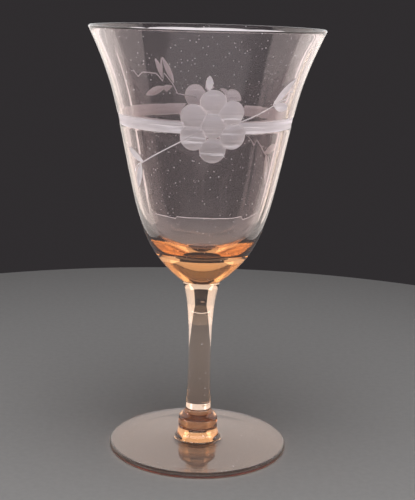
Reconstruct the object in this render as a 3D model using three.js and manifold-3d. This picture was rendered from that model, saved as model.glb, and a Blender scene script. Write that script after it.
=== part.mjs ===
// A stemmed wine glass of pale rose glass with a cut bowl, in millimetres, +Z up.
// It stands on z = 0 with its axis on the Z axis, and its decorated front faces -Y.
// Four gathers of glass are stacked on the axis and fused face to face:
// foot, knop, stem and bowl. Angles around the axis run from -Y towards +X.

import * as THREE from 'three';
import { mergeVertices } from 'three/addons/utils/BufferGeometryUtils.js';
import Module from 'manifold-3d';

// Overall sizes
const totalHeight = 165;
const bowlHeight = 97;
const rimDiameter = 88.6;
const footDiameter = 70.4;

// Foot: a thin disk, hollowed a little underneath, that rises to a pad under the knop
const footEdge = 2.1;
const padHeight = 3.6;
const padFillet = 1.4;
const restRingWidth = 5;
const footHollow = 0.8;

// Knop: a barrel of glass with a sloped shoulder
const knopHeight = 12.1;
const knopRadius = 9;
const knopShoulderRadius = 7.8;
const knopShoulderHeight = 7.1;
const knopNeckHeight = 2.5;

// Stem: a drawn rod that spreads to meet the bowl
const stemFootRadius = 4.95;
const stemDrawnRadius = 3.9;

// Bowl: the outer face is two curves that meet at the waist
const heelRadius = 7.9;
const heelSpread = 51;
const waistRadius = 29.7;
const waistHeight = 47;
const waistFlare = 11.8;
const rimFlare = 25;
const rimThickness = 1.3;
const waistWall = 1.8;
const baseThickness = 12;

// How far each end of the bowl's curves keeps to its own direction
const heelReach = 19;
const belowWaistReach = 25;
const aboveWaistReach = 24;
const rimReach = 22;
const cavityWallReach = 31;
const cavityFloorReach = 19;

// Shallow flutes moulded up the inner face, with a soft ridge between neighbours
const fluteCount = 12;
const fluteDepth = 0.14;
const fluteFloor = 21;
const fluteFade = 8;
const fluteTurn = 6;

// Cut decoration: a band all round, and two bunches of berries with leaves
const bandBelowRim = 34.1;
const bandWidth = 4.2;
const bandDepth = 0.25;
const bunchAboveBand = 1;
const berryRadius = 4.65;
const berryDepth = 0.6;
const leafDepth = 0.5;
const cutterReach = 4;

// Steps around the axis
const wallSegments = 60;
const rodSegments = 36;

const jointHeight = totalHeight - bowlHeight;
const stemLength = jointHeight - padHeight - knopHeight;
const degrees = THREE.MathUtils.degToRad;

function roseGlass(color, roughness) {
  return new THREE.MeshStandardMaterial({ color, roughness, metalness: 0 });
}

// A point at a distance from a start, along a direction given by its angle from upright.
function away(start, angle, distance) {
  const direction = new THREE.Vector2(Math.sin(degrees(angle)), Math.cos(degrees(angle)));
  return start.clone().addScaledVector(direction, distance);
}

// Turns an outline of (radius, height) points about the Z axis.
function turned(points, segments) {
  const geometry = new THREE.LatheGeometry(points, segments);
  return geometry.rotateX(Math.PI / 2);
}

function mesh(name, geometry, material, height) {
  const piece = new THREE.Mesh(geometry, material);
  piece.name = name;
  piece.position.z = height;
  return piece;
}

function makeFoot() {
  const radius = footDiameter / 2;
  const edge = footEdge / 2;
  const ringInside = radius - edge - restRingWidth;
  const outline = new THREE.Path();
  outline.moveTo(0, footHollow);
  outline.quadraticCurveTo(ringInside / 2, footHollow, ringInside, 0);
  outline.lineTo(radius - edge, 0);
  outline.absarc(radius - edge, edge, edge, -Math.PI / 2, Math.PI / 2, false);
  outline.lineTo(knopRadius + padFillet, padHeight - padFillet / 2);
  outline.quadraticCurveTo(knopRadius, padHeight - padFillet / 2, knopRadius, padHeight);
  outline.lineTo(0, padHeight);
  return mesh('foot', turned(outline.getPoints(3), wallSegments), roseGlass(0xc9a9a0, 0.06), 0);
}

function makeKnop() {
  const outline = new THREE.Path();
  outline.moveTo(0, 0);
  outline.lineTo(knopRadius, 0);
  outline.bezierCurveTo(
    knopShoulderRadius, knopShoulderHeight / 4,
    knopShoulderRadius, knopShoulderHeight / 2,
    knopShoulderRadius, knopShoulderHeight,
  );
  outline.bezierCurveTo(
    knopShoulderRadius, knopShoulderHeight + knopNeckHeight,
    stemFootRadius, knopHeight - knopNeckHeight,
    stemFootRadius, knopHeight,
  );
  outline.lineTo(0, knopHeight);
  return mesh('knop', turned(outline.getPoints(6), rodSegments), roseGlass(0xe0a070, 0.05), padHeight);
}

function makeStem() {
  const outline = new THREE.Path();
  outline.moveTo(0, 0);
  outline.lineTo(stemFootRadius, 0);
  outline.bezierCurveTo(
    stemDrawnRadius, stemLength * 0.38,
    stemDrawnRadius, stemLength * 0.88,
    heelRadius, stemLength,
  );
  outline.lineTo(0, stemLength);
  const height = padHeight + knopHeight;
  return mesh('stem', turned(outline.getPoints(11), rodSegments), roseGlass(0xd8bdb4, 0.05), height);
}

// The bowl's outline. The middle of the fire-polished rim is a half circle about rimCentre.
const rimCentre = new THREE.Vector2((rimDiameter - rimThickness) / 2, bowlHeight - rimThickness / 2);
const rimOuter = away(rimCentre, rimFlare + 90, rimThickness / 2);
const rimInner = away(rimCentre, rimFlare - 90, rimThickness / 2);
const waistOuter = new THREE.Vector2(waistRadius, waistHeight);
const waistInner = new THREE.Vector2(waistRadius - waistWall, waistHeight);
const heel = new THREE.Vector2(heelRadius, 0);
const cavityFloor = new THREE.Vector2(0, baseThickness);

const outerLower = new THREE.CubicBezierCurve(
  heel, away(heel, heelSpread, heelReach), away(waistOuter, waistFlare, -belowWaistReach), waistOuter,
);
const outerUpper = new THREE.CubicBezierCurve(
  waistOuter, away(waistOuter, waistFlare, aboveWaistReach), away(rimOuter, rimFlare, -rimReach), rimOuter,
);
const innerUpper = new THREE.CubicBezierCurve(
  rimInner, away(rimInner, rimFlare, -rimReach), away(waistInner, waistFlare, aboveWaistReach), waistInner,
);
const innerLower = new THREE.CubicBezierCurve(
  waistInner,
  away(waistInner, waistFlare, -cavityWallReach),
  away(cavityFloor, 90, cavityFloorReach),
  cavityFloor,
);

// The outer face at a height above the bowl's base, before anything is cut into it.
const outerFace = [...outerLower.getPoints(60), ...outerUpper.getPoints(60)];

function outerAt(height) {
  const above = outerFace.findIndex((point, i) => i > 0 && point.y > height);
  const high = outerFace[above];
  const low = outerFace[above - 1];
  const share = (height - low.y) / (high.y - low.y);
  return {
    radius: THREE.MathUtils.lerp(low.x, high.x, share),
    lean: Math.atan2(high.x - low.x, high.y - low.y),
  };
}

// The outer face from heel to rim, with the band sunk into it.
function outerOutline() {
  const bandLow = bowlHeight - bandBelowRim - bandWidth / 2;
  const bandHigh = bandLow + bandWidth;
  const curves = [...outerLower.getPoints(10), ...outerUpper.getPoints(6).slice(1)];
  const band = [bandLow, bandHigh].map((height) => {
    const radius = outerAt(height).radius;
    const face = new THREE.Vector2(radius, height);
    const sunk = new THREE.Vector2(radius - bandDepth, height);
    return height === bandLow ? [face, sunk] : [sunk, face];
  });
  return [
    ...curves.filter((point) => point.y < bandLow - bandDepth),
    ...band.flat(),
    ...curves.filter((point) => point.y > bandHigh + bandDepth),
  ];
}

function rimOutline() {
  const arc = [];
  for (let turn = 90; turn > rimFlare - 90; turn -= 45) {
    arc.push(away(rimCentre, turn, rimThickness / 2));
  }
  return arc;
}

// How far the ridges between the flutes stand in from the wall at a place on the inner face.
function ridge(angle, height) {
  const fade = THREE.MathUtils.smoothstep(height, fluteFloor, fluteFloor + fluteFade);
  const topFade = THREE.MathUtils.smoothstep(bowlHeight - height, rimThickness, fluteFade);
  const wave = Math.abs(Math.sin((fluteCount * (angle - degrees(fluteTurn))) / 2));
  return fluteDepth * fade * topFade * (1 - wave) ** 2;
}

function bowlBlank() {
  const outside = [new THREE.Vector2(0, 0), ...outerOutline(), ...rimOutline()];
  const inside = [...innerUpper.getPoints(6), ...innerLower.getPoints(10).slice(1)];
  const geometry = new THREE.LatheGeometry([...outside, ...inside], wallSegments);
  const rowLength = outside.length + inside.length;
  const position = geometry.getAttribute('position');
  const place = new THREE.Vector3();
  for (let i = 0; i < position.count; i += 1) {
    if (i % rowLength >= outside.length) {
      place.fromBufferAttribute(position, i);
      const radius = Math.hypot(place.x, place.z);
      const depth = ridge(Math.atan2(place.x, place.z), place.y);
      const scale = radius > 0 ? (radius - depth) / radius : 1;
      position.setXYZ(i, place.x * scale, place.y, place.z * scale);
    }
  }
  return geometry.rotateX(Math.PI / 2);
}

// Places a cutter on the outer face. Its own +Z points out of the glass, +X along the
// band and +Y up the wall. along and up are measured from the middle of a bunch.
function onWall(geometry, bunchAngle, along, up, sink) {
  const height = bowlHeight - bandBelowRim + bunchAboveBand + up;
  const { radius, lean } = outerAt(height);
  const angle = degrees(bunchAngle) + along / radius;
  const level = new THREE.Vector3(Math.sin(angle), -Math.cos(angle), 0);
  const right = new THREE.Vector3(Math.cos(angle), Math.sin(angle), 0);
  const rise = level.clone().multiplyScalar(Math.sin(lean));
  rise.z = Math.cos(lean);
  const outward = right.clone().cross(rise);
  const place = level.multiplyScalar(radius).setZ(height).addScaledVector(outward, -sink);
  const frame = new THREE.Matrix4().makeBasis(right, rise, outward).setPosition(place);
  return geometry.applyMatrix4(frame);
}

// A round cutter that grinds one berry.
function berryCutter() {
  const disk = new THREE.CylinderGeometry(berryRadius, berryRadius, cutterReach, 22);
  return disk.rotateX(Math.PI / 2).translate(0, 0, cutterReach / 2);
}

// A cutter with two round sides and two points, centred on the origin and turned from level.
function leafCutter(length, width, turn) {
  const shape = new THREE.Shape();
  shape.moveTo(0, 0);
  shape.quadraticCurveTo(length / 2, -width, length, 0);
  shape.quadraticCurveTo(length / 2, width, 0, 0);
  const settings = { depth: cutterReach, bevelEnabled: false, curveSegments: 5 };
  const block = new THREE.ExtrudeGeometry(shape, settings);
  return block.translate(-length / 2, 0, 0).rotateZ(degrees(turn));
}

// Leaves, each given by its middle, its length and width, and its turn from level.
const lowLeaves = [
  { along: -32.6, up: -13, length: 10.8, width: 3.2, turn: 156 },
  { along: -30.4, up: -20.8, length: 12, width: 3.2, turn: 243 },
];

// The front bunch has a berry at its top and a bud above it; the one behind has neither and
// sits a little lower. The berries were placed by hand, each (along, up) from its bunch's middle.
const bunches = [
  {
    turn: 4.8,
    lift: 0,
    berries: [[0, 0], [6.3, 4.5], [7.2, -4], [0.1, -9], [-7, -4.5], [-7.1, 3.1], [-0.3, 8.3]],
    leaves: [
      ...lowLeaves,
      { along: 29, up: 11.6, length: 14, width: 3.4, turn: 44 },
      { along: 28.4, up: 6, length: 9.6, width: 3.6, turn: -8 },
      { along: -2, up: 15.1, length: 5.8, width: 2.5, turn: 90 },
    ],
  },
  {
    turn: 176,
    lift: -0.9,
    berries: [[0, 0], [6.8, 5.2], [7.5, -4.2], [0.2, -8.7], [-7.3, -4.4], [-8.2, 3.7], [-3, 3.9]],
    leaves: [
      ...lowLeaves,
      { along: 20.5, up: 15.1, length: 12.4, width: 3.2, turn: 63 },
      { along: 24.3, up: 7.2, length: 14, width: 3.2, turn: -14 },
    ],
  },
];

function bunchCutters({ turn, lift, berries, leaves }) {
  const cutters = berries.map(([along, up]) => (
    onWall(berryCutter(), turn, along, lift + up, berryDepth)
  ));
  leaves.forEach((leaf) => {
    const cutter = leafCutter(leaf.length, leaf.width, leaf.turn);
    cutters.push(onWall(cutter, turn, leaf.along, lift + leaf.up, leafDepth));
  });
  return cutters;
}

const wasm = await Module();
wasm.setup();

function toSolid(geometry) {
  geometry.deleteAttribute('normal');
  geometry.deleteAttribute('uv');
  const merged = mergeVertices(geometry);
  const corners = merged.getIndex().array;
  const kept = [];
  for (let i = 0; i < corners.length; i += 3) {
    const [a, b, c] = corners.slice(i, i + 3);
    if (a !== b && b !== c && c !== a) {
      kept.push(a, b, c);
    }
  }
  return new wasm.Manifold(new wasm.Mesh({
    numProp: 3,
    vertProperties: new Float32Array(merged.getAttribute('position').array),
    triVerts: new Uint32Array(kept),
  }));
}

function toGeometry(solid) {
  const { vertProperties, triVerts } = solid.getMesh();
  const geometry = new THREE.BufferGeometry();
  geometry.setAttribute('position', new THREE.BufferAttribute(vertProperties, 3));
  geometry.setIndex(new THREE.BufferAttribute(triVerts, 1));
  geometry.computeVertexNormals();
  return geometry;
}

function makeBowl() {
  let bowl = toSolid(bowlBlank());
  bunches.flatMap(bunchCutters).forEach((cutter) => {
    bowl = bowl.subtract(toSolid(cutter));
  });
  return mesh('bowl', toGeometry(bowl), roseGlass(0xd9c4bf, 0.05), jointHeight);
}

const glass = new THREE.Group();
glass.add(makeFoot(), makeKnop(), makeStem(), makeBowl());

export default glass;
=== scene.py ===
# %% [markdown]
# # A wine glass of pale rose glass
#
# A stemmed glass is made from four gathers of hot glass that are stacked on one axis and fused face to
# face: foot, knop, stem and bowl. Nothing on it moves and nothing can be unscrewed. Every piece is
# round, so each is an outline turned about the same axis, and only the bowl has more to it: shallow
# flutes moulded up its inner face, and berries, leaves and a band cut into its outer face.
#
# The lesson begins with the fixed frame. It says where each gather of glass is, so all the heights
# below are measured from it and nothing is fitted afterwards.

# %% Load the fixed frame
import itertools
import math

import bpy
from mathutils import Matrix, Vector
from mathutils.geometry import interpolate_bezier


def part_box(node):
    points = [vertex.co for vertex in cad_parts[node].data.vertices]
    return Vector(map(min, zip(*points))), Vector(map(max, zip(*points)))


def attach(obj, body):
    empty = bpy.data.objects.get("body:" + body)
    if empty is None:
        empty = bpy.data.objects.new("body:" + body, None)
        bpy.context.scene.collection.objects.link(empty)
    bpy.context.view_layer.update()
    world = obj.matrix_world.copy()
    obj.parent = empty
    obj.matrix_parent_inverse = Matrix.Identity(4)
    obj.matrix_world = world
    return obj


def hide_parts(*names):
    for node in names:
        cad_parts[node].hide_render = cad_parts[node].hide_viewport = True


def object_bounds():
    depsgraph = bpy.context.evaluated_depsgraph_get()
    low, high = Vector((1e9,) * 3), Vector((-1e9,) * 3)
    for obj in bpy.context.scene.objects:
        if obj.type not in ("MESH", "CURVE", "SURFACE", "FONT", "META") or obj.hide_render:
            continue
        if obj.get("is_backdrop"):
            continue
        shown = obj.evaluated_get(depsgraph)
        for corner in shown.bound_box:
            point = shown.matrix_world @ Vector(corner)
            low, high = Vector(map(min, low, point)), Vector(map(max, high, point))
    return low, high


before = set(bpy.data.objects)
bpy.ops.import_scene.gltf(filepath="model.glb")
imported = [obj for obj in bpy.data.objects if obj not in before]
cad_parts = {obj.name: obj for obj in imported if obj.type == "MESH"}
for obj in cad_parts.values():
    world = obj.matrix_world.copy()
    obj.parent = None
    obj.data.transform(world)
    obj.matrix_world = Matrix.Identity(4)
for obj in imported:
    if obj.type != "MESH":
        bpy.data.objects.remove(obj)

MM = 0.001
cad_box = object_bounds()
bowl_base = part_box("bowl")[0][2]
bowl_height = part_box("bowl")[1][2] - bowl_base
rim_radius = (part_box("bowl")[1][0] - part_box("bowl")[0][0]) / 2
stem_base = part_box("stem")[0][2]
knop_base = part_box("knop")[0][2]
foot_radius = (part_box("foot")[1][0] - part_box("foot")[0][0]) / 2
print("heights of the joints, mm:", [round(z / MM, 1) for z in (knop_base, stem_base, bowl_base)])

# %% [markdown]
# ## The camera
#
# The glass is seen from a little above its rim, from close enough for the near side of the rim and
# the far side to open into an ellipse. A camera is placed by a distance, a height and three angles.
# The small roll is the lean that a hand-held camera gives.

# %% Camera
camera_distance = 428.7 * MM
camera_height = 176.9 * MM
camera_pitch = math.radians(-12.75)
camera_yaw = math.radians(0.275)
camera_roll = math.radians(1.52)


def aimed(yaw, pitch, roll):
    """A rotation that looks along +Y turned by yaw and pitch, and leans by roll."""
    forward = Vector((math.sin(yaw) * math.cos(pitch), math.cos(yaw) * math.cos(pitch), math.sin(pitch)))
    right = Vector((math.cos(yaw), -math.sin(yaw), 0))
    up = right.cross(forward)
    right, up = math.cos(roll) * right + math.sin(roll) * up, math.cos(roll) * up - math.sin(roll) * right
    return Matrix((right, up, -forward)).transposed()


camera_data = bpy.data.cameras.new("studio_camera")
camera_data.sensor_width = 36
camera_data.lens = 81.45
camera = bpy.data.objects.new("studio_camera", camera_data)
camera.matrix_world = Matrix.LocRotScale(
    Vector((0, -camera_distance, camera_height)), aimed(camera_yaw, camera_pitch, camera_roll), None
)
bpy.context.collection.objects.link(camera)
bpy.context.scene.camera = camera
print("camera is", round(camera.location.length, 3), "m from the foot")

# %% [markdown]
# ## A short way to write nodes
#
# Shapes and finishes below are both made of nodes. Wiring them one by one is slow to read, so two small
# classes help. A Wire is the output of a node, and sums on wires add the Math nodes that they need, so
# 1 - mask reads as it does on paper. Nodes.make adds any other node from its type, its settings and the
# values or wires of its inputs.

# %% Wires and nodes
class Wire:
    """An output socket that takes part in sums."""

    def __init__(self, nodes, socket):
        self.nodes = nodes
        self.socket = socket

    def out(self, name):
        """Another output of the same node."""
        return Wire(self.nodes, self.socket.node.outputs[name])

    def __add__(self, other):
        return self.nodes.maths("ADD", self, other)

    def __sub__(self, other):
        return self.nodes.maths("SUBTRACT", self, other)

    def __mul__(self, other):
        return self.nodes.maths("MULTIPLY", self, other)

    def __truediv__(self, other):
        return self.nodes.maths("DIVIDE", self, other)

    def __rsub__(self, other):
        return self.nodes.maths("SUBTRACT", other, self)

    __radd__ = __add__
    __rmul__ = __mul__


class Nodes:
    """Adds nodes to one tree."""

    def __init__(self, tree):
        self.tree = tree

    def make(self, kind, settings=None, inputs=None, output=0):
        node = self.tree.nodes.new(kind)
        for name, value in (settings or {}).items():
            if name == "stops":
                self.set_stops(node.color_ramp.elements, value)
            else:
                setattr(node, name, value)
        for name, value in (inputs or {}).items():
            socket = node.inputs[name]
            if isinstance(value, Wire):
                self.tree.links.new(value.socket, socket)
            else:
                socket.default_value = value
        return Wire(self, node.outputs[output])

    def end(self, kind, inputs):
        """The output node of the tree, with the wires that go into it."""
        node = self.tree.nodes.new(kind)
        for name, wire in inputs.items():
            self.tree.links.new(wire.socket, node.inputs[name])

    def set_stops(self, elements, stops):
        while len(elements) < len(stops):
            elements.new(1)
        for element, (place, colour) in zip(elements, stops):
            element.position = place
            element.color = colour

    def maths(self, operation, *values):
        return self.make("ShaderNodeMath", {"operation": operation}, dict(enumerate(values)))

    def smooth(self, value, low, high):
        """0 below low, 1 above high, and a soft S between them."""
        inputs = {"Value": value, "From Min": low, "From Max": high}
        return self.make("ShaderNodeMapRange", {"interpolation_type": "SMOOTHSTEP"}, inputs)


# %% [markdown]
# ## Turning an outline
#
# A lathe is the natural tool for round glass. The Screw modifier would do it, but a small tree of
# geometry nodes gives control of every row. A grid has one row for each point of the outline and one
# column for each step round the axis; each corner of the grid reads its row's point and swings it
# round. Merging the corners that meet closes the seam and the poles, so the glass is one sealed body.
# The outline also says which of its points lie on the inner face, and the grid carries that along.

# %% The turning tree
def new_tree(name, numbers):
    """A geometry tree with a Geometry input and output, a Glass input, and the inputs in numbers."""
    tree = bpy.data.node_groups.new(name, "GeometryNodeTree")
    tree.is_modifier = True
    tree.interface.new_socket("Geometry", in_out="OUTPUT", socket_type="NodeSocketGeometry")
    tree.interface.new_socket("Geometry", in_out="INPUT", socket_type="NodeSocketGeometry")
    for label, kind in numbers.items():
        tree.interface.new_socket(label, in_out="INPUT", socket_type="NodeSocket" + kind)
    tree.interface.new_socket("Glass", in_out="INPUT", socket_type="NodeSocketMaterial")
    nodes = Nodes(tree)
    return nodes, nodes.make("NodeGroupInput")


def close_tree(nodes, geometry, given):
    """Every tree ends the same way: real geometry, with its glass on it."""
    real = nodes.make("GeometryNodeRealizeInstances", inputs={"Geometry": geometry})
    inputs = {"Geometry": real, "Material": given.out("Glass")}
    finished = nodes.make("GeometryNodeSetMaterial", inputs=inputs)
    nodes.end("NodeGroupOutput", {"Geometry": finished})


def stored(nodes, geometry, name, value):
    """The geometry, with a number kept on each of its corners."""
    settings = {"data_type": "FLOAT", "domain": "POINT"}
    inputs = {"Geometry": geometry, "Name": name, "Value": value}
    return nodes.make("GeometryNodeStoreNamedAttribute", settings, inputs)


def named(nodes, name):
    return nodes.make("GeometryNodeInputNamedAttribute", {"data_type": "FLOAT"}, {"Name": name})


def place_of(nodes):
    return nodes.make("ShaderNodeSeparateXYZ", inputs={"Vector": nodes.make("GeometryNodeInputPosition")})


def make_turning_tree():
    nodes, given = new_tree("turned_glass", {"Steps": "Int"})
    outline = given.out("Geometry")
    steps = given.out("Steps")
    rows = nodes.make("GeometryNodeAttributeDomainSize", {"component": "MESH"}, {"Geometry": outline})
    sizes = {"Size X": rows - 1, "Size Y": steps, "Vertices X": rows, "Vertices Y": steps + 1}
    grid = nodes.make("GeometryNodeMeshGrid", inputs=sizes)
    corner = place_of(nodes)
    row = corner + (rows - 1) / 2 + 0.5
    angle = (corner.out("Y") / steps + 0.5) * math.tau

    def of_row(value, kind):
        settings = {"data_type": kind, "domain": "POINT"}
        inputs = {"Geometry": outline, "Value": value, "Index": row}
        return nodes.make("GeometryNodeSampleIndex", settings, inputs)

    point = nodes.make("GeometryNodeInputPosition")
    point = nodes.make("ShaderNodeSeparateXYZ", inputs={"Vector": of_row(point, "FLOAT_VECTOR")})
    kept = stored(nodes, grid, "inside", of_row(named(nodes, "inside"), "FLOAT"))
    swung = {
        "X": point * nodes.maths("SINE", angle),
        "Y": point * nodes.maths("COSINE", angle) * -1,
        "Z": point.out("Z"),
    }
    swung = {"Geometry": kept, "Position": nodes.make("ShaderNodeCombineXYZ", inputs=swung)}
    moved = nodes.make("GeometryNodeSetPosition", inputs=swung)
    merged = nodes.make("GeometryNodeMergeByDistance", inputs={"Geometry": moved, "Distance": 1e-6})
    faced = nodes.make("GeometryNodeFlipFaces", inputs={"Mesh": merged})
    smooth = nodes.make("GeometryNodeSetShadeSmooth", {"domain": "FACE"}, {"Geometry": faced})
    bend = nodes.make("GeometryNodeInputMeshEdgeAngle")
    sharp = nodes.maths("GREATER_THAN", bend, math.radians(30))
    sharp = {"Geometry": smooth, "Selection": sharp, "Shade Smooth": False}
    creased = nodes.make("GeometryNodeSetShadeSmooth", {"domain": "EDGE"}, sharp)
    close_tree(nodes, creased, given)
    return nodes.tree


turning_tree = make_turning_tree()
print("turning tree has", len(turning_tree.nodes), "nodes")

# %% Helpers that run a tree and keep its result
def grow(piece, tree, **values):
    """Adds a tree to a piece. An input's name is given with _ for each space."""
    modifier = piece.modifiers.new(tree.name, "NODES")
    modifier.node_group = tree
    for item in tree.interface.items_tree:
        key = item.name.replace(" ", "_")
        if item.in_out == "INPUT" and key in values:
            modifier[item.identifier] = values[key]


def to_plain_mesh(piece):
    """Replaces a piece's outline and trees by the mesh that they make."""
    bpy.context.view_layer.update()
    seen = piece.evaluated_get(bpy.context.evaluated_depsgraph_get())
    mesh = bpy.data.meshes.new_from_object(seen)
    piece.modifiers.clear()
    piece.data = mesh
    mesh.name = piece.name
    corners = [v.co for v in mesh.vertices]
    mesh.calc_loop_triangles()
    volume = sum(corners[a].dot(corners[b].cross(corners[c])) for a, b, c in
                 (t.vertices for t in mesh.loop_triangles)) / 6
    print(piece.name, "has", len(mesh.loop_triangles), "triangles and holds",
          round(volume * 1e6, 2), "ml of glass")


def outline_object(name, outside, inside=()):
    """An object whose mesh is an outline of (radius, height) points in metres."""
    points = [*outside, *inside]
    mesh = bpy.data.meshes.new(name + "_outline")
    mesh.from_pydata([(r, 0, z) for r, z in points], [(i, i + 1) for i in range(len(points) - 1)], [])
    flags = mesh.attributes.new("inside", "FLOAT", "POINT")
    flags.data.foreach_set("value", [0.0] * len(outside) + [1.0] * len(inside))
    piece = bpy.data.objects.new(name, mesh)
    bpy.context.collection.objects.link(piece)
    return piece


# %% [markdown]
# ## Outlines
#
# Glass has no straight lines. Every stretch of an outline is a Bezier curve between two points, with
# handles that say in which direction the glass leaves and how long it keeps to that direction. Angles
# are measured from upright, as a glassmaker reads the flare of a rim.

# %% Curves
def away(start, angle, distance):
    """The point at a distance from start, along a direction given by its angle from upright."""
    return start + distance * Vector((math.sin(math.radians(angle)), math.cos(math.radians(angle))))


def curve(start, start_handle, end_handle, end, steps):
    return list(interpolate_bezier(start, start_handle, end_handle, end, steps + 1))


def line(start, end, steps):
    return [start.lerp(end, i / steps) for i in range(steps + 1)]


def arc(centre, radius, start, end, steps):
    return [away(centre, start + (end - start) * i / steps, radius) for i in range(steps + 1)]


def joined(*stretches):
    """One outline from stretches that meet end to end."""
    points = [stretches[0][0]]
    for stretch in stretches:
        points += stretch[1:]
    return points


def metres(points, lift):
    """Points in millimetres from a joint, as metres in the frame."""
    return [(x * MM, y * MM + lift) for x, y in points]


# %% [markdown]
# ## The rose glass
#
# Rose glass is clear glass with a trace of colour in its body. A thin wall looks almost white, and the
# thick base of the bowl turns amber, because the light has a long way to go through it. Colour that
# depends on depth is absorption, not paint, so a Volume Absorption shader gives the tint. The surface
# takes only a little green away, which keeps the thin walls pink and not yellow. The knop and the foot
# are tinted more strongly than the rest.
#
# The surface is what the fire and the tools left: bright, with the faintest waves, smears and white
# pinpricks, and dull where the wheel has cut it. A cut place scatters light back as well as letting it
# through, and making it partly metallic is what whitens it here. On top of that, light is painted into
# the cuts. Each berry is made whiter towards its top and greyer towards its bottom, which is painted
# shade for light falling from above. The cut places off the berries, the band most of all, are made
# whiter still, which is painted light for the light that reaches the band from the side.

# %% The tint of the glass
tint = (0.96, 0.62, 0.14, 1)
tint_density = 62.0
foot_density = 115.0
glass_ior = 1.52
surface_colour = (0.96, 0.92, 0.99, 1)
see_through = 0.96
speck_spacing = 2.2 * MM
speck_size = 0.3 * MM
speck_share = 0.4
worn_width = 0.9 * MM
worn_fade = 0.4 * MM


def scaled(nodes, place, x, y, z):
    """Object coordinates stretched by a scale for each axis."""
    return nodes.make("ShaderNodeMapping", inputs={"Vector": place, "Scale": (x, y, z)})


def pinpricks(nodes, place, spacing, size, share):
    """1 at small round specks scattered over a surface, 0 between them."""
    cells = nodes.make("ShaderNodeTexVoronoi", inputs={"Vector": place, "Scale": 1 / spacing})
    shown = nodes.make("ShaderNodeSeparateColor", inputs={"Color": cells.out("Color")})
    shown = nodes.maths("LESS_THAN", shown, share)
    return (1 - nodes.smooth(cells, size * 0.5 / spacing, size / spacing)) * shown


def kept_number(nodes, name):
    """A number that the shape's tree has kept on the mesh."""
    return nodes.make("ShaderNodeAttribute", {"attribute_name": name}, output="Fac")


def rose_glass(name, density, is_cut=False, is_worn=False):
    """The finish of one piece. Only the bowl is cut, and only the foot is worn at its edge."""
    glass = bpy.data.materials.new(name)
    glass.use_nodes = True
    glass.node_tree.nodes.clear()
    nodes = Nodes(glass.node_tree)
    place = nodes.make("ShaderNodeTexCoord", output="Object")

    waves = nodes.make("ShaderNodeTexNoise", inputs={"Vector": place, "Scale": 70.0, "Detail": 1.0})
    height = waves * 0.00004
    smears = nodes.make("ShaderNodeTexNoise", inputs={"Vector": place, "Scale": 160.0, "Detail": 4.0})
    roughness = nodes.smooth(smears, 0.5, 0.8) * 0.03
    specks = pinpricks(nodes, place, speck_spacing, speck_size, speck_share)
    roughness = roughness + specks * 0.6
    metal = specks

    if is_worn:
        axes = nodes.make("ShaderNodeSeparateXYZ", inputs={"Vector": place})
        out = nodes.maths("SQRT", axes * axes + axes.out("Y") * axes.out("Y"))
        worn_from = foot_radius - worn_width
        roughness = roughness + nodes.smooth(out, worn_from, worn_from + worn_fade) * 0.3

    if is_cut:
        edge = kept_number(nodes, "cut")
        ground = nodes.smooth(edge, 0.46, 0.54)
        berry = kept_number(nodes, "berry")
        rise = kept_number(nodes, "berry_rise")
        seam = kept_number(nodes, "seam")
        passes = {"Vector": scaled(nodes, place, 60, 60, 900), "W": berry * 3.7, "Scale": 1.0, "Detail": 3.0}
        passes = nodes.make("ShaderNodeTexNoise", {"noise_dimensions": "4D"}, passes)
        streaks = nodes.smooth(passes, 0.55, 0.62)
        grain = nodes.make("ShaderNodeTexNoise", inputs={"Vector": place, "Scale": 5000.0, "Detail": 2.0})
        across = kept_number(nodes, "stalk_across")
        near = kept_number(nodes, "stalk_near")
        scored = 1 - nodes.smooth(nodes.maths("ABSOLUTE", across), 0.12, 0.3)
        scored = scored * nodes.smooth(near, 0.4, 0.6)
        ground = nodes.maths("MAXIMUM", ground, scored)
        roughness = roughness + ground * (0.38 + passes * 0.3)
        height = height + ground * (passes * 0.0003 + grain * 0.00003) - scored * 0.0002
        joint = 1 - nodes.smooth(seam, 0.04, 0.26)
        tone = nodes.maths("FRACT", berry * 0.618)
        # Painted light: cut places off the berries (the band, leaves and stalks) are made more metallic, so
        # whiter, standing for the side light on the band.
        painted_light_off_berries = 1 - nodes.smooth(berry, 0.0, 0.5)
        # Painted shade: rise makes the top of each berry more metallic, so whiter, and its bottom greyer, as
        # if lit from above.
        white = 0.16 + rise * 0.12 + streaks * 0.42 + joint * 0.3 + tone * 0.14 + painted_light_off_berries * 0.42
        metal = metal + ground * white

    bump = nodes.make("ShaderNodeBump", inputs={"Height": height, "Distance": 1.0, "Strength": 1.0})
    surface = nodes.make("ShaderNodeBsdfPrincipled", {}, {
        "Base Color": surface_colour,
        "Roughness": roughness,
        "Metallic": metal,
        "IOR": glass_ior,
        "Transmission Weight": see_through,
        "Normal": bump,
    })
    depth = nodes.make("ShaderNodeVolumeAbsorption", inputs={"Color": tint, "Density": density})
    nodes.end("ShaderNodeOutputMaterial", {"Surface": surface, "Volume": depth})
    return glass


bowl_glass = rose_glass("cut_rose_glass", tint_density, is_cut=True)
stem_glass = rose_glass("rose_glass", tint_density)
knop_glass = rose_glass("deep_rose_glass", foot_density)
foot_glass = rose_glass("worn_rose_glass", foot_density, is_worn=True)
print("after 10 mm of glass, red, green and blue fall to",
      [round(math.exp(-tint_density * (1 - c) * 10 * MM), 2) for c in tint[:3]])

# %% [markdown]
# ## The foot
#
# The foot is a gather pressed flat and spun out by its own weight, so it thins from a pad under the
# knop to a rounded edge. It stands on a narrow ring; inside the ring the underside is hollowed a
# little, so that the glass doesn't rock. Turned from an outline of two shallow curves and a half round.

# %% Foot
foot_edge = 2.1
pad_fillet = 1.4
rest_ring_width = 5
foot_hollow = 0.8
knop_radius = 9
round_steps = 240


def turned_piece(name, points, lift, replaced, glass):
    piece = outline_object(name, metres(points, lift))
    grow(piece, turning_tree, Steps=round_steps, Glass=glass)
    to_plain_mesh(piece)
    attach(piece, "root")
    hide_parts(replaced)
    return piece


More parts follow.
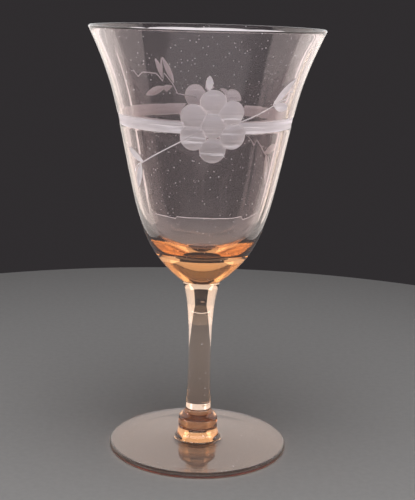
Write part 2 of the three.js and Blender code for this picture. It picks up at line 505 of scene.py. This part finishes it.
def foot_outline():
    radius = foot_radius / MM
    pad_height = knop_base / MM
    edge = foot_edge / 2
    ring_inside = radius - edge - rest_ring_width
    knee = Vector((ring_inside / 2, foot_hollow))
    inner = Vector((ring_inside, 0))
    pad_foot = Vector((knop_radius + pad_fillet, pad_height - pad_fillet / 2))
    pad_knee = Vector((knop_radius, pad_height - pad_fillet / 2))
    pad = Vector((knop_radius, pad_height))
    under = curve(Vector((0, foot_hollow)), knee * 2 / 3 + Vector((0, foot_hollow / 3)),
                  knee * 2 / 3 + inner / 3, inner, 36)
    ring = line(inner, Vector((radius - edge, 0)), 6)
    side = arc(Vector((radius - edge, edge)), edge, 180, 0, 16)
    top = line(side[-1], pad_foot, 40)
    fillet = curve(pad_foot, pad_foot.lerp(pad_knee, 2 / 3), pad_knee.lerp(pad, 1 / 3), pad, 8)
    return joined(under, ring, side, top, fillet, line(pad, Vector((0, pad_height)), 8))


foot = turned_piece("pressed_foot", foot_outline(), 0, "foot", foot_glass)

# %% [markdown]
# ## The knop
#
# The knop is a bead of glass dropped on the foot while both are hot. Its shoulder is drawn in where the
# stem was stuck to it.

# %% Knop
knop_shoulder_radius = 7.8
knop_shoulder_height = 7.1
knop_neck_height = 2.5
stem_foot_radius = 4.95
joint_gap = 0.01


def knop_outline():
    height = (stem_base - knop_base) / MM
    low = Vector((knop_radius, joint_gap))
    shoulder = Vector((knop_shoulder_radius, knop_shoulder_height))
    neck = Vector((stem_foot_radius, height))
    side = curve(low, Vector((knop_shoulder_radius, knop_shoulder_height / 4)),
                 Vector((knop_shoulder_radius, knop_shoulder_height / 2)), shoulder, 30)
    top = curve(shoulder, Vector((knop_shoulder_radius, knop_shoulder_height + knop_neck_height)),
                Vector((stem_foot_radius, height - knop_neck_height)), neck, 30)
    base = line(Vector((0, joint_gap)), low, 8)
    return joined(base, side, top, line(neck, Vector((0, height)), 6))


knop = turned_piece("glass_knop", knop_outline(), knop_base, "knop", knop_glass)

# %% [markdown]
# ## The stem
#
# The stem is a solid rod drawn out of a gather, so it is thinnest where it was pulled the most and
# spreads at both ends. A solid rod of glass is a strong lens, which is why the light at its sides
# shows as two bright bars.

# %% Stem
stem_drawn_radius = 3.9
heel_radius = 7.9
stem_low_pull = 0.38
stem_high_pull = 0.88


def stem_outline():
    height = (bowl_base - stem_base) / MM
    low = Vector((stem_foot_radius, joint_gap))
    high = Vector((heel_radius, height))
    side = curve(low, Vector((stem_drawn_radius, height * stem_low_pull)),
                 Vector((stem_drawn_radius, height * stem_high_pull)), high, 110)
    return joined(line(Vector((0, joint_gap)), low, 6), side, line(high, Vector((0, height)), 8))


stem = turned_piece("drawn_stem", stem_outline(), stem_base, "stem", stem_glass)

# %% [markdown]
# ## The blank of the bowl
#
# The bowl is blown into a mould as a bell. Its outer face is two curves that meet at the waist, its
# inner face follows at the thickness of the wall, and a deep pool of glass is left in its base. The
# rim is melted round in the fire. Rows are close together only where the decoration will be cut.

# %% Bowl blank
heel_spread = 51
heel_reach = 19
waist_radius = 29.7
waist_height = 47
waist_flare = 11.8
below_waist_reach = 25
above_waist_reach = 24
rim_flare = 25
rim_reach = 22
rim_thickness = 1.3
waist_wall = 1.8
base_thickness = 12
cavity_wall_reach = 31
cavity_floor_reach = 19
bowl_steps = 480
cut_zone = (40.5, 82.5)
cut_row = 0.5

rim_height = bowl_height / MM
rim_centre = Vector((rim_radius / MM - rim_thickness / 2, rim_height - rim_thickness / 2))
rim_outer = away(rim_centre, rim_flare + 90, rim_thickness / 2)
rim_inner = away(rim_centre, rim_flare - 90, rim_thickness / 2)
waist_outer = Vector((waist_radius, waist_height))
waist_inner = Vector((waist_radius - waist_wall, waist_height))
heel = Vector((heel_radius, joint_gap))
cavity_floor = Vector((0, base_thickness))

outer_face = joined(
    curve(heel, away(heel, heel_spread, heel_reach),
          away(waist_outer, waist_flare, -below_waist_reach), waist_outer, 400),
    curve(waist_outer, away(waist_outer, waist_flare, above_waist_reach),
          away(rim_outer, rim_flare, -rim_reach), rim_outer, 400),
)


def outer_at(height):
    """The radius of the outer face at a height above the bowl's base, and how it leans."""
    above = next(i for i, point in enumerate(outer_face) if i and point.y > height)
    low, high = outer_face[above - 1], outer_face[above]
    radius = low.x + (high.x - low.x) * (height - low.y) / (high.y - low.y)
    return radius, math.atan2(high.x - low.x, high.y - low.y)


def rows_between(low, high, spacing):
    count = round((high - low) / spacing)
    heights = [low + (high - low) * i / count for i in range(count + 1)]
    return [Vector((outer_at(height)[0], height)) for height in heights]


def bowl_outlines():
    base = line(Vector((0, joint_gap)), heel, 5)
    low = [point for i, point in enumerate(outer_face) if i % 14 == 0 and point.y < cut_zone[0] - 1]
    high = [point for i, point in enumerate(outer_face) if i % 12 == 0 and point.y > cut_zone[1] + 1]
    outside = joined(base, low) + rows_between(*cut_zone, cut_row) + high
    outside += arc(rim_centre, rim_thickness / 2, rim_flare + 90, 90, 4)
    outside += arc(rim_centre, rim_thickness / 2, 90, rim_flare - 90, 14)[1:]
    inside = joined(
        curve(rim_inner, away(rim_inner, rim_flare, -rim_reach),
              away(waist_inner, waist_flare, above_waist_reach), waist_inner, 24),
        curve(waist_inner, away(waist_inner, waist_flare, -cavity_wall_reach),
              away(cavity_floor, 90, cavity_floor_reach), cavity_floor, 36),
    )
    return metres(outside, bowl_base), metres(inside[1:], bowl_base)


bowl = outline_object("blown_bowl", *bowl_outlines())
grow(bowl, turning_tree, Steps=bowl_steps, Glass=bowl_glass)
print("the bowl's outline has", len(bowl.data.vertices), "points")

# %% [markdown]
# ## Flutes
#
# The mould pressed twelve shallow panels up the inside of the bowl. Where two of them meet, a soft
# ridge stands in from the wall, and it fades out above the base and below the rim. Nothing shows of
# it head on, but each ridge bends what is seen through it. A tree that repeats one wave round the
# axis makes all twelve, from a count and a depth.

# %% The fluting tree
def make_fluting_tree():
    numbers = {"Flutes": "Int", "Depth": "Float", "Turn": "Float", "Floor": "Float", "Fade": "Float",
               "Rim": "Float"}
    nodes, given = new_tree("fluted_wall", numbers)
    corner = place_of(nodes)
    angle = nodes.maths("ARCTAN2", corner, corner.out("Y") * -1) - given.out("Turn")
    wave = 1 - nodes.maths("ABSOLUTE", nodes.maths("SINE", angle * given.out("Flutes") / 2))
    wave = wave * wave
    height = corner.out("Z")
    rise = nodes.smooth(height, given.out("Floor"), given.out("Floor") + given.out("Fade"))
    fall = nodes.smooth(given.out("Rim") - height, 0.0, given.out("Fade"))
    ridge = wave * rise * fall * given.out("Depth") * named(nodes, "inside")
    stand = {"Vector": nodes.make("GeometryNodeInputNormal"), "Scale": ridge}
    stand = nodes.make("ShaderNodeVectorMath", {"operation": "SCALE"}, stand)
    inputs = {"Geometry": given.out("Geometry"), "Offset": stand}
    close_tree(nodes, nodes.make("GeometryNodeSetPosition", inputs=inputs), given)
    return nodes.tree


flute_count = 12
flute_depth = 0.14
flute_turn = 6
flute_floor = 21
flute_fade = 8
grow(bowl, make_fluting_tree(), Flutes=flute_count, Depth=flute_depth * MM, Turn=math.radians(flute_turn),
     Floor=bowl_base + flute_floor * MM, Fade=flute_fade * MM,
     Rim=bowl_base + bowl_height - rim_thickness * MM, Glass=bowl_glass)

# %% [markdown]
# ## The cut decoration
#
# After the bowl had cooled, a cutter held it against stone wheels. A wide wheel ground the band, a
# rounded wheel sank each berry with one dip, and a thin one drew the leaves and stalks. Cut places are
# shallow dishes with dull floors. Where two berries overlap, their dishes meet in a straight edge.
#
# The pattern is laid on the wall first, as points for the berries, small panels for the leaves and
# narrow strips for the stalks. Then one tree measures how far each corner of the bowl is from the
# pattern and sinks it by the depth of the cut. Because the tree asks for the nearest berry only, the
# straight edges between berries come by themselves.

# %% Laying a pattern on the wall
band_below_rim = 34.1
bunch_above_band = 1
bunch_height = rim_height - band_below_rim + bunch_above_band


def on_wall(turn, along, up, x=0.0, y=0.0):
    """A place on the outer face. along and up run from the middle of a bunch, x and y from there."""
    radius, lean = outer_at(bunch_height + up)
    angle = math.radians(turn) + (along + x) / radius
    height = bunch_height + up + y * math.cos(lean)
    radius = outer_at(height)[0] * MM
    return Vector((radius * math.sin(angle), -radius * math.cos(angle), height * MM + bowl_base))


def pattern_object(name, corners, edges=(), faces=(), across=None):
    mesh = bpy.data.meshes.new(name)
    mesh.from_pydata(corners, list(edges), list(faces))
    if across:
        mesh.attributes.new("across", "FLOAT", "POINT").data.foreach_set("value", across)
    laid = bpy.data.objects.new(name, mesh)
    bpy.context.collection.objects.link(laid)
    return laid


# %% Berries
berry_radius = 4.65
seam_steps = 24
bunches = [
    {"turn": 4.8, "up": 0, "full": True, "berries": [
        (0, 0), (-0.3, 8.3), (6.3, 4.5), (7.2, -4.0), (0.1, -9.0), (-7.0, -4.5), (-7.1, 3.1)]},
    {"turn": 176, "up": -0.9, "full": False, "berries": [
        (0, 0), (6.8, 5.2), (7.5, -4.2), (0.2, -8.7), (-7.3, -4.4), (-8.2, 3.7), (-3.0, 3.9)]},
]


def berry_places():
    return [on_wall(bunch["turn"], along, bunch["up"] + up)
            for bunch in bunches for along, up in bunch["berries"]]


def seam_lines():
    """The straight edges that overlapping berries share, cut off where a third berry begins."""
    corners, edges = [], []
    for bunch in bunches:
        middles = [Vector(berry) for berry in bunch["berries"]]
        for a, b in itertools.combinations(middles, 2):
            reach = berry_radius ** 2 - (b - a).length_squared / 4
            along = (b - a).orthogonal().normalized() * math.sqrt(max(reach, 0))
            path = line((a + b) / 2 - along, (a + b) / 2 + along, seam_steps)
            for start, end in zip(path, path[1:]):
                place = (start + end) / 2
                nearest = min((place - other).length for other in middles)
                if reach > 0 and (place - a).length < nearest + 0.01:
                    edges.append((len(corners), len(corners) + 1))
                    corners += [on_wall(bunch["turn"], at.x, bunch["up"] + at.y) for at in (start, end)]
    return corners, edges


berries = pattern_object("berries", berry_places())
seams = pattern_object("seams", *seam_lines())
print(len(berries.data.vertices), "berries")

# %% Leaves and bud
low_leaves = [
    {"along": -32.6, "up": -13, "length": 10.8, "width": 3.2, "turn": 156},
    {"along": -30.4, "up": -20.8, "length": 12, "width": 3.2, "turn": 243},
]
bud = {"along": -2, "up": 15.1, "length": 5.8, "width": 2.5, "turn": 90}
front_leaves = [
    {"along": 29, "up": 11.6, "length": 14, "width": 3.4, "turn": 44},
    {"along": 28.4, "up": 6, "length": 9.6, "width": 3.6, "turn": -8},
    *low_leaves,
    bud,
]
back_leaves = [
    {"along": 20.5, "up": 15.1, "length": 12.4, "width": 3.2, "turn": 63},
    {"along": 24.3, "up": 7.2, "length": 14, "width": 3.2, "turn": -14},
    *low_leaves,
]
leaf_steps = 16


def leaf_shapes():
    """The leaves as panels of short strips, and the lines round their edges."""
    corners, faces, edges = [], [], []
    for bunch in bunches:
        for leaf in front_leaves if bunch["full"] else back_leaves:
            first = len(corners)
            tilt = math.radians(leaf["turn"])
            for i in range(leaf_steps + 1):
                share = i / leaf_steps
                x = (share - 0.5) * leaf["length"]
                half = 2 * share * (1 - share) * leaf["width"]
                for y in (-half, half):
                    place = Matrix.Rotation(tilt, 2) @ Vector((x, y))
                    corners.append(on_wall(bunch["turn"], leaf["along"], bunch["up"] + leaf["up"], *place))
                if i:
                    a = first + 2 * i
                    faces.append((a - 2, a, a + 1, a - 1))
                    edges += [(a - 2, a), (a - 1, a + 1)]
    return corners, edges, faces


leaf_corners, leaf_edges, leaf_faces = leaf_shapes()
leaf_panels = pattern_object("leaf_panels", leaf_corners, faces=leaf_faces)
leaf_lines = pattern_object("leaf_lines", leaf_corners, edges=leaf_edges)
print(len(leaf_faces) // leaf_steps, "leaves and buds")

# %% Stalks and tendrils
low_stalks = [
    [(-4, -2), (-14, -7.6), (-27.6, -15.2)],
    [(-27.6, -15.2), (-31, -16.5), (-33.5, -19.3)],
]
front_stalks = low_stalks + [
    [(7, 0.4), (14, 2.8), (23.7, 6.8)],
    [(24, 6.8), (28, 8.4), (30.8, 8.7), (33, 11.6), (34.9, 11.3)],
]
back_stalks = low_stalks + [
    [(7, 4.6), (15, 5.8), (17.7, 9.6)],
    [(17.7, 9.6), (23.3, 14), (32, 14.5), (34.7, 12.8), (37.5, 15.2)],
]
strip_half_width = 1.2
strip_steps = 10


def stalk_strips():
    """Each stalk is a strip that carries how far across it a place is, in millimetres."""
    corners, faces, across = [], [], []
    for bunch in bunches:
        for stalk in front_stalks if bunch["full"] else back_stalks:
            points = [Vector(point) for point in stalk]
            path = joined(*(line(a, b, strip_steps) for a, b in zip(points, points[1:])))
            for i, point in enumerate(path):
                ahead = path[min(i + 1, len(path) - 1)] - path[max(i - 1, 0)]
                side = Vector((-ahead.y, ahead.x)).normalized() * strip_half_width
                for sign in (-1, 1):
                    place = point + side * sign
                    corners.append(on_wall(bunch["turn"], place.x, bunch["up"] + place.y))
                    across.append(sign * strip_half_width)
                if i:
                    a = len(corners) - 4
                    faces.append((a, a + 2, a + 3, a + 1))
    return corners, faces, across


strip_corners, strip_faces, strip_across = stalk_strips()
strips = pattern_object("stalk_strips", strip_corners, faces=strip_faces, across=strip_across)
print(len(front_stalks + back_stalks), "stalks and tendrils")


# %% The cutting tree
def make_cutting_tree():
    numbers = {
        "Berries": "Object", "Seams": "Object", "Berry Radius": "Float", "Berry Depth": "Float",
        "Leaf Panels": "Object", "Leaf Lines": "Object", "Leaf Depth": "Float", "Leaf Slope": "Float",
        "Stalks": "Object", "Band Height": "Float", "Band Width": "Float", "Band Depth": "Float",
    }
    nodes, given = new_tree("cut_wall", numbers)

    def pattern(label):
        inputs = {"Object": given.out(label)}
        return nodes.make("GeometryNodeObjectInfo", inputs=inputs, output="Geometry")

    def distance_to(label, element):
        inputs = {"Geometry": pattern(label)}
        return nodes.make("GeometryNodeProximity", {"target_element": element}, inputs, "Distance")

    from_berry = distance_to("Berries", "POINTS")
    berry_in = given.out("Berry Radius") - from_berry
    dip = from_berry / given.out("Berry Radius")
    berry_depth = given.out("Berry Depth") * nodes.maths("MAXIMUM", 1 - dip * dip, 0.0)

    berry = nodes.make("GeometryNodeSampleNearest", {"domain": "POINT"}, {"Geometry": pattern("Berries")})
    middle = nodes.make("GeometryNodeInputPosition")
    middle = {"Geometry": pattern("Berries"), "Value": middle, "Index": berry}
    settings = {"data_type": "FLOAT_VECTOR", "domain": "POINT"}
    middle = nodes.make("GeometryNodeSampleIndex", settings, middle)
    middle = nodes.make("ShaderNodeSeparateXYZ", inputs={"Vector": middle})
    on_berry = nodes.maths("GREATER_THAN", berry_in, -0.2 * MM)
    # How high a place sits in its berry. The finish uses it for painted shade: whiter at the top of each
    # berry.
    rise = (place_of(nodes).out("Z") - middle.out("Z")) / given.out("Berry Radius") * on_berry
    seam = distance_to("Seams", "EDGES") / MM

    on_leaf = nodes.maths("LESS_THAN", distance_to("Leaf Panels", "FACES"), 0.08 * MM)
    leaf_in = distance_to("Leaf Lines", "EDGES") * (on_leaf * 2 - 1)
    leaf_depth = nodes.maths("MAXIMUM", leaf_in * given.out("Leaf Slope"), 0.0)
    leaf_depth = nodes.maths("MINIMUM", leaf_depth, given.out("Leaf Depth"))

    height = place_of(nodes).out("Z")
    band_in = given.out("Band Width") / 2 - nodes.maths("ABSOLUTE", height - given.out("Band Height"))
    band_depth = nodes.smooth(band_in, -0.1 * MM, 0.35 * MM) * given.out("Band Depth")

    across = {"Mesh": pattern("Stalks"), "Value": named(nodes, "across")}
    across = nodes.make("GeometryNodeSampleNearestSurface", {"data_type": "FLOAT"}, across)
    from_strip = distance_to("Stalks", "FACES")
    near_strip = 1 - nodes.smooth(from_strip, 0.1 * MM, 0.8 * MM)

    outside = 1 - named(nodes, "inside")
    depth = nodes.maths("MAXIMUM", nodes.maths("MAXIMUM", berry_depth, leaf_depth), band_depth) * outside
    within = nodes.maths("MAXIMUM", nodes.maths("MAXIMUM", berry_in, leaf_in), band_in)
    cut = nodes.make("ShaderNodeClamp", inputs={"Value": 0.5 + within / (2 * MM)}) * outside
    kept = stored(nodes, given.out("Geometry"), "cut", cut)
    kept = stored(nodes, kept, "stalk_across", across)
    kept = stored(nodes, kept, "berry", (berry + 1) * on_berry * outside)
    kept = stored(nodes, kept, "berry_rise", rise * outside)
    kept = stored(nodes, kept, "seam", nodes.maths("MINIMUM", seam, 2.0) + (1 - outside) * 2)
    kept = stored(nodes, kept, "stalk_near", near_strip * outside)
    sink = {"Vector": nodes.make("GeometryNodeInputNormal"), "Scale": depth * -1}
    sink = nodes.make("ShaderNodeVectorMath", {"operation": "SCALE"}, sink)
    inputs = {"Geometry": kept, "Offset": sink}
    close_tree(nodes, nodes.make("GeometryNodeSetPosition", inputs=inputs), given)
    return nodes.tree


berry_depth = 0.6
leaf_depth = 0.35
leaf_slope = 0.25
band_width = 4.2
band_depth = 0.25
grow(bowl, make_cutting_tree(), Berries=berries, Seams=seams, Berry_Radius=berry_radius * MM,
     Berry_Depth=berry_depth * MM, Leaf_Panels=leaf_panels, Leaf_Lines=leaf_lines,
     Leaf_Depth=leaf_depth * MM, Leaf_Slope=leaf_slope, Stalks=strips,
     Band_Height=bowl_base + bowl_height - band_below_rim * MM, Band_Width=band_width * MM,
     Band_Depth=band_depth * MM, Glass=bowl_glass)
to_plain_mesh(bowl)
for laid in (berries, seams, leaf_panels, leaf_lines, strips):
    bpy.data.objects.remove(laid)
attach(bowl, "root")
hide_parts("bowl")

# %% [markdown]
# ## The studio
#
# Clear glass is seen by what it reflects and bends, so it is lit from the sides against a dark room: its
# edges gather the light of large soft boxes, and its middle stays dark. Low boxes in front light the
# cut places, which would be grey without them, and one behind shines on the foot. These boxes light
# the glass alone. The table is pale and plain with a soft light of its own above it, and it ends behind
# the glass, so the bowl stands against the dark.

# %% Table
table_radius = 0.30
table_thickness = 0.012


def make_table():
    outline = [(0, -table_thickness), (table_radius, -table_thickness),
               (table_radius, -0.0002), (0, -0.0002)]
    table = outline_object("table", outline)
    paint = bpy.data.materials.new("pale_table")
    paint.use_nodes = True
    nodes = Nodes(paint.node_tree)
    place = nodes.make("ShaderNodeTexCoord", output="Object")
    grain = nodes.make("ShaderNodeTexNoise", inputs={"Vector": place, "Scale": 400.0, "Detail": 3.0})
    shade = nodes.make("ShaderNodeValToRGB", {"stops": [
        (0.3, (0.60, 0.59, 0.585, 1)),
        (0.7, (0.64, 0.63, 0.625, 1)),
    ]}, {"Fac": grain})
    board = paint.node_tree.nodes["Principled BSDF"]
    paint.node_tree.links.new(shade.socket, board.inputs["Base Color"])
    board.inputs["Roughness"].default_value = 0.7
    grow(table, turning_tree, Steps=160, Glass=paint)
    to_plain_mesh(table)
    table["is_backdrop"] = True
    return table


table = make_table()

# %% Lights
def soft_box(name, place, aim, width, height, radiance, lit, colour=(1, 1, 1)):
    """A large rectangle of light that shines on the pieces in lit and that the camera doesn't see."""
    data = bpy.data.lights.new(name, "AREA")
    data.shape = "RECTANGLE"
    data.size, data.size_y = width, height
    data.energy = radiance * 4 * width * height
    data.color = colour
    light = bpy.data.objects.new(name, data)
    light.location = place
    light.rotation_euler = (Vector(aim) - Vector(place)).to_track_quat("-Z", "Y").to_euler()
    light.visible_camera = False
    light.light_linking.receiver_collection = lit
    bpy.context.collection.objects.link(light)


glass_pieces = bpy.data.collections.new("glass_pieces")
for piece in (foot, knop, stem, bowl):
    glass_pieces.objects.link(piece)
table_only = bpy.data.collections.new("table_only")
table_only.objects.link(table)

box_foot = 0.13
box_top = 0.33
box_near = 0.01
box_far = 0.42
box_low = 0.10
box_high = 0.50
warm = (1, 0.935, 0.885)
for side in (-1, 1):
    middle = Vector((side * (box_foot + box_top), box_near + box_far, box_low + box_high)) / 2
    facing = Vector((-side * (box_high - box_low), 0, box_top - box_foot))
    soft_box("side_box", middle, middle + facing, box_far - box_near, facing.length, 1.0, glass_pieces, warm)
    low_middle = (box_near + box_far) / 2
    soft_box("low_side_box", (side * box_foot, low_middle, box_low / 2), (0, low_middle, box_low / 2),
             box_far - box_near, box_low, 0.8, glass_pieces, warm)
    soft_box("front_side_box", (side * 0.52, -0.22, 0.07), (0, 0, 0.1), 0.36, 0.13, 3.4, glass_pieces, warm)
soft_box("top_box", (0, 0.1, 0.62), (0, 0.1, 0), 0.44, 0.6, 0.25, glass_pieces)
soft_box("back_box", (0, 0.56, 0.36), (0, 0, 0.1), 0.7, 0.5, 0.7, glass_pieces)
soft_box("front_box", (0, -0.6, 0.1), (0, 0, 0.1), 1.1, 0.2, 2.2, glass_pieces, warm)
soft_box("high_front_box", (0, -0.5, 0.55), (0, 0, 0.1), 1.4, 0.4, 0.4, glass_pieces)
soft_box("low_strip", (0, 0.297, 0.001), (0, 0, 0.001), 0.4, 0.0016, 0.8, glass_pieces)
soft_box("table_light", (0, -0.08, 0.42), (0, 0, 0), 0.3, 0.3, 2.3, table_only)

world = bpy.data.worlds.new("dark_room")
world.use_nodes = True
world.node_tree.nodes["Background"].inputs["Color"].default_value = (0.030, 0.027, 0.029, 1)
bpy.context.scene.world = world
bpy.context.scene.view_settings.view_transform = "Standard"

# %% [markdown]
# ## Closing the frame
#
# The sizes of the fixed frame and of the finished glass are written side by side, so that a reader
# can see that the glass hasn't grown.

# %% Sizes and finish
boxes = [[list(corner) for corner in box] for box in (cad_box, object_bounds())]
print("frame and glass, mm:", [[round(v / MM, 2) for v in box[1]] for box in boxes])
